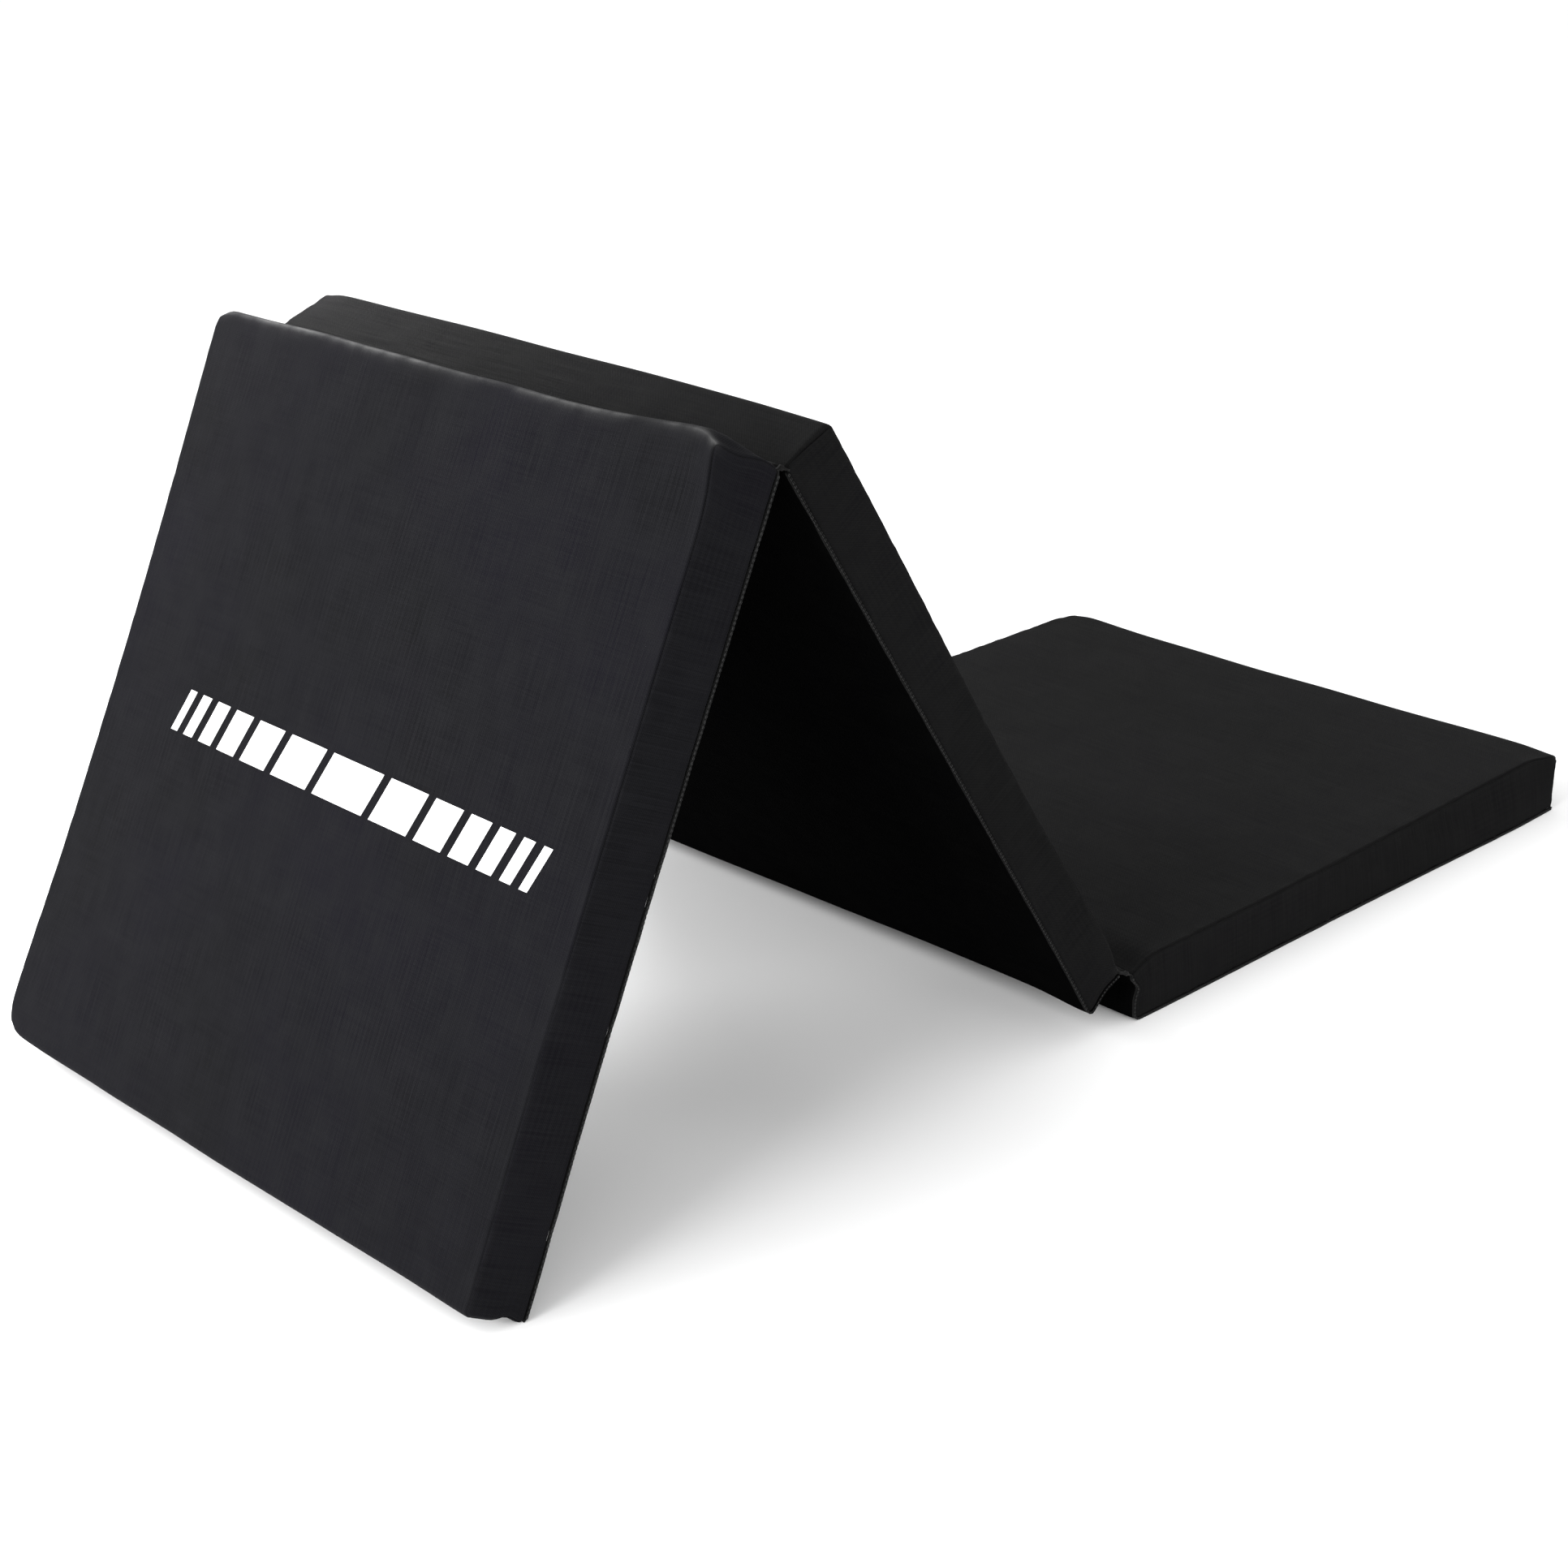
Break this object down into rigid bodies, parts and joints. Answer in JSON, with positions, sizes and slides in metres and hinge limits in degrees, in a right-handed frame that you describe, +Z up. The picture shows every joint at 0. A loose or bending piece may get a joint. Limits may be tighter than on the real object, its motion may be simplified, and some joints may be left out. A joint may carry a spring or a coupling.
{
  "type": "folding gym mat",
  "caption": "Folding exercise mat: thick foam sections in zipped woven covers, joined by sewn fabric hinges, stood up as a tent with its end section flat on the floor.",
  "frame": {"origin": "centre of the face on which the rear section lies on the floor, midway between the mat's sides", "axes": "+X from the standing front section to the free end of the flat rear section, +Y across the mat to the side walls with the zips, +Z up"},
  "size_m": [1.2592, 0.6025, 0.5597],
  "materials": {
    "cover_fabric": "matte fine woven polyester",
    "seam_binding": "matte ribbed tape",
    "hinge_fabric": "matte fine woven polyester",
    "foam": "matte closed-cell foam",
    "zip_tape": "matte woven tape",
    "zip_coil": "satin nylon",
    "zip_metal": "satin black",
    "print_film": "matte transfer film"
  },
  "bodies": {
    "front": {"front_foam_core": "foam", "front_face_sheet": "cover_fabric", "front_back_sheet": "cover_fabric", "front_near_gusset": "cover_fabric", "front_far_gusset": "cover_fabric", "front_near_binding": "seam_binding", "front_far_binding": "seam_binding", "front_zip_tapes": "zip_tape", "front_zip_coil": "zip_coil", "front_zip_stops": "zip_coil", "front_fold_tape": "hinge_fabric", "front_emblem": "print_film"},
    "middle": {"middle_foam_core": "foam", "middle_face_sheet": "cover_fabric", "middle_back_sheet": "cover_fabric", "middle_near_gusset": "cover_fabric", "middle_far_gusset": "cover_fabric", "middle_near_binding": "seam_binding", "middle_far_binding": "seam_binding", "middle_zip_tapes": "zip_tape", "middle_zip_coil": "zip_coil", "middle_zip_stops": "zip_coil", "middle_front_fold_tape": "hinge_fabric", "middle_rear_fold_tape": "hinge_fabric", "front_fold_welt": "hinge_fabric", "rear_fold_welt": "hinge_fabric"},
    "rear": {"rear_foam_core": "foam", "rear_face_sheet": "cover_fabric", "rear_back_sheet": "cover_fabric", "rear_near_gusset": "cover_fabric", "rear_far_gusset": "cover_fabric", "rear_near_binding": "seam_binding", "rear_far_binding": "seam_binding", "rear_zip_tapes": "zip_tape", "rear_zip_coil": "zip_coil", "rear_zip_stops": "zip_coil", "rear_fold_tape": "hinge_fabric"},
    "front_slider": {"front_zip_slider": "zip_metal"},
    "front_pull": {"front_zip_pull": "zip_metal"},
    "middle_slider": {"middle_zip_slider": "zip_metal"},
    "middle_pull": {"middle_zip_pull": "zip_metal"},
    "rear_slider": {"rear_zip_slider": "zip_metal"},
    "rear_pull": {"rear_zip_pull": "zip_metal"}
  },
  "joints": [
    {"name": "fold_rear", "type": "hinge", "parent": "rear", "child": "middle", "pos_m": [-0.3015, 0, 0.052], "axis": [0, 1, 0], "range_deg": [-58.7, 121.3]},
    {"name": "fold_front", "type": "hinge", "parent": "middle", "child": "front", "pos_m": [-0.66091, 0, 0.53919], "axis": [0, -1, 0], "range_deg": [-123.31, 56.69]},
    {"name": "front_zip_slide", "type": "slide", "parent": "front", "child": "front_slider", "axis": [-0.4287, 0, -0.9034], "range_m": [0, 0.516]},
    {"name": "front_pull_swing", "type": "hinge", "parent": "front_slider", "child": "front_pull", "pos_m": [-0.70395, 0.301, 0.51146], "axis": [0.9034, 0, -0.4287], "range_deg": [0, 180]},
    {"name": "middle_zip_slide", "type": "slide", "parent": "middle", "child": "middle_slider", "axis": [0.5195, 0, -0.8545], "range_m": [0, 0.516]},
    {"name": "middle_pull_swing", "type": "hinge", "parent": "middle_slider", "child": "middle_pull", "pos_m": [-0.61524, 0.301, 0.51604], "axis": [0.8545, 0, 0.5195], "range_deg": [0, 180]},
    {"name": "rear_zip_slide", "type": "slide", "parent": "rear", "child": "rear_slider", "axis": [-1, 0, 0], "range_m": [0, 0.516]},
    {"name": "rear_pull_swing", "type": "hinge", "parent": "rear_slider", "child": "rear_pull", "pos_m": [0.258, 0.301, 0.025], "axis": [0, 0, -1], "range_deg": [0, 180]}
  ]
}
